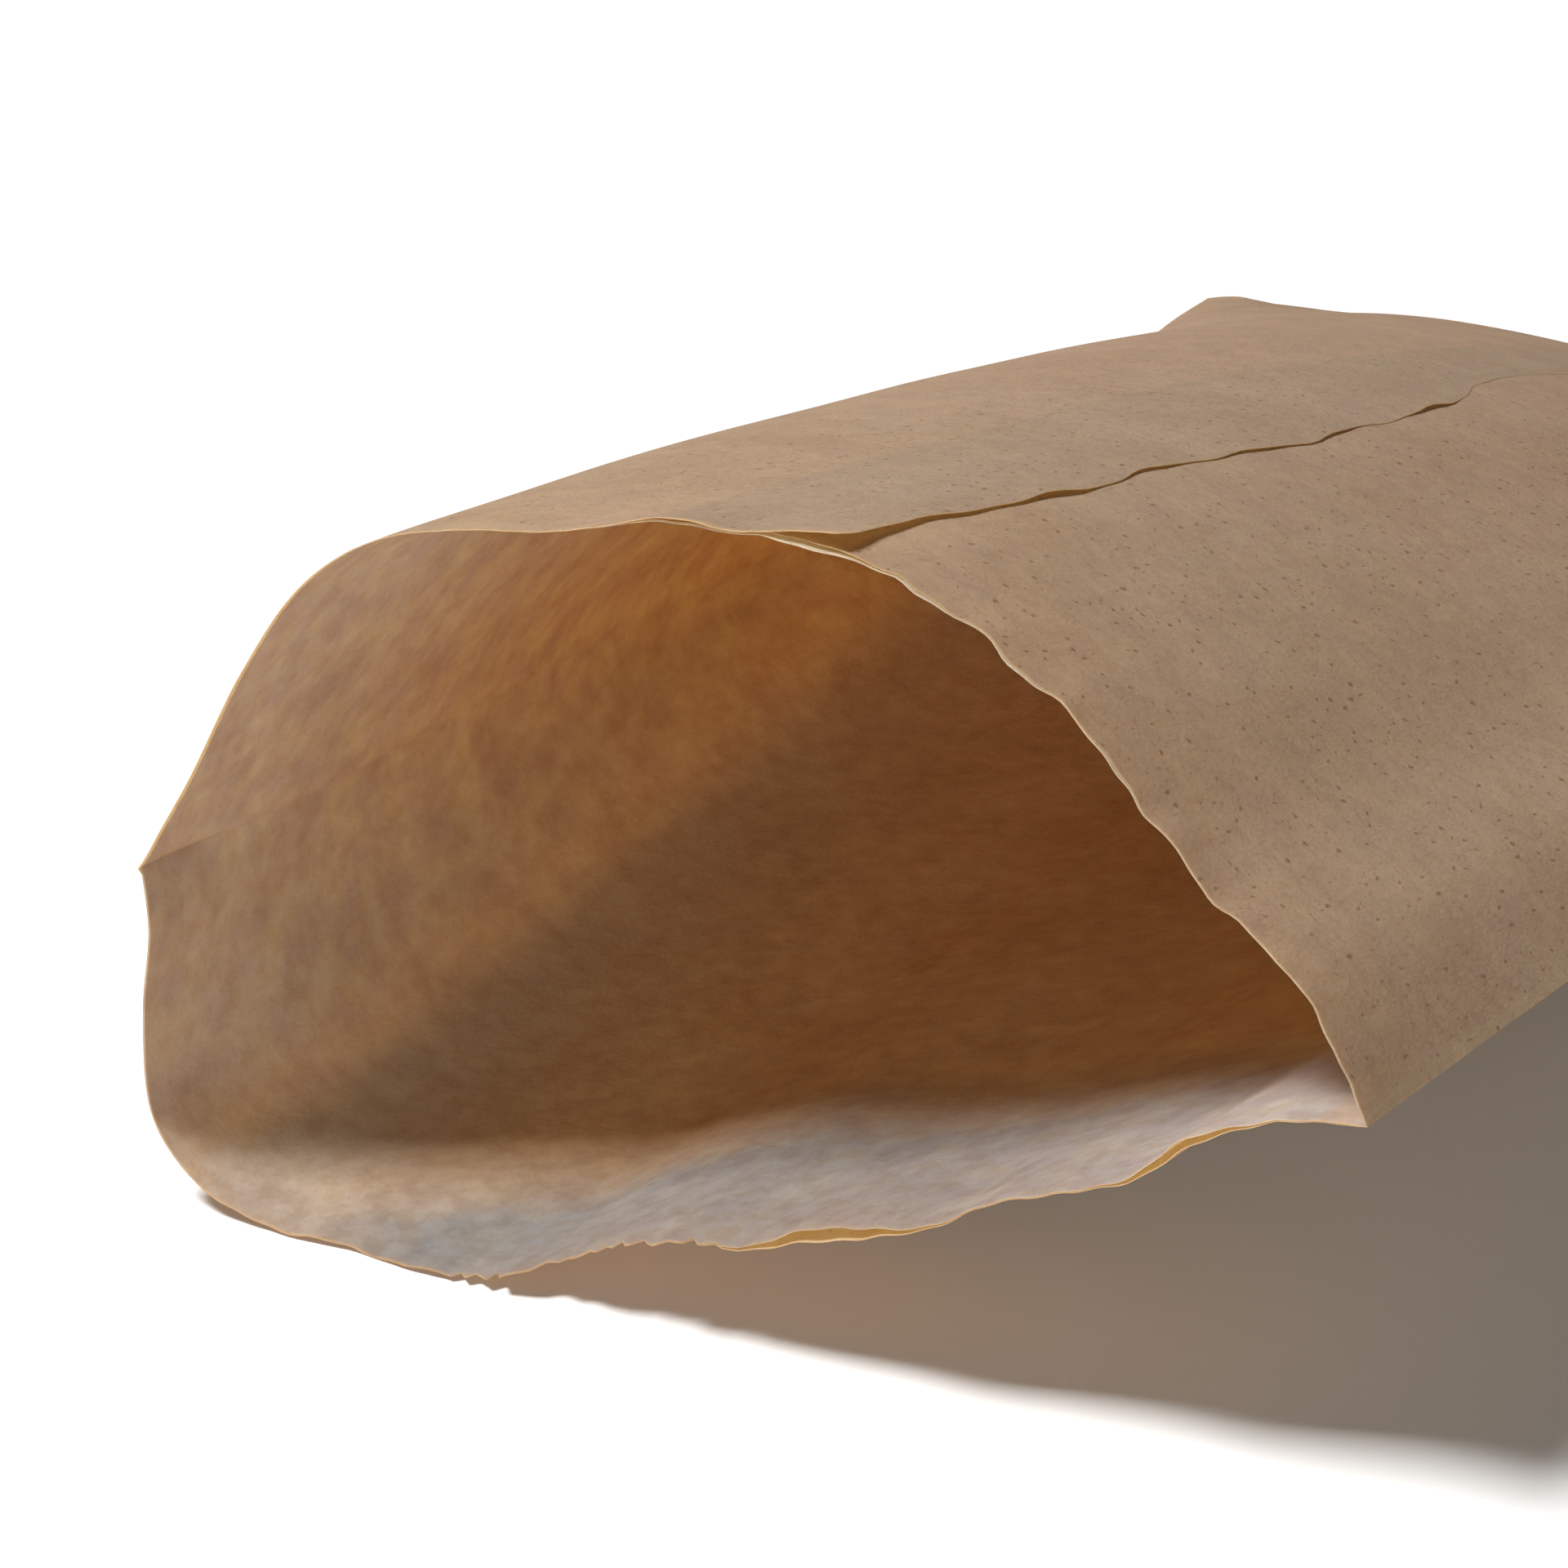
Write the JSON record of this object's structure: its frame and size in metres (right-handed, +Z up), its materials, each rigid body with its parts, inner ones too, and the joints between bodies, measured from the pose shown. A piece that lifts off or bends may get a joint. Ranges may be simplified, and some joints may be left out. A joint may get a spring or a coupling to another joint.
{
  "type": "paper lunch bag",
  "caption": "Flat brown paper bag with a pale lining ply, lying on its face with the mouth popped open and the far end closed.",
  "frame": {"origin": "bottom centre of the bag's bounding box, on the surface it lies on", "axes": "+Z up, -Y out of the mouth, +Y towards the closed end, +X to the right when looking into the mouth"},
  "size_m": [0.19, 0.316, 0.0874],
  "materials": {
    "kraft_paper": "matte",
    "lining_paper": "matte"
  },
  "bodies": {
    "root": {"outer_bag": "kraft_paper", "inner_lining": "lining_paper"}
  },
  "joints": []
}
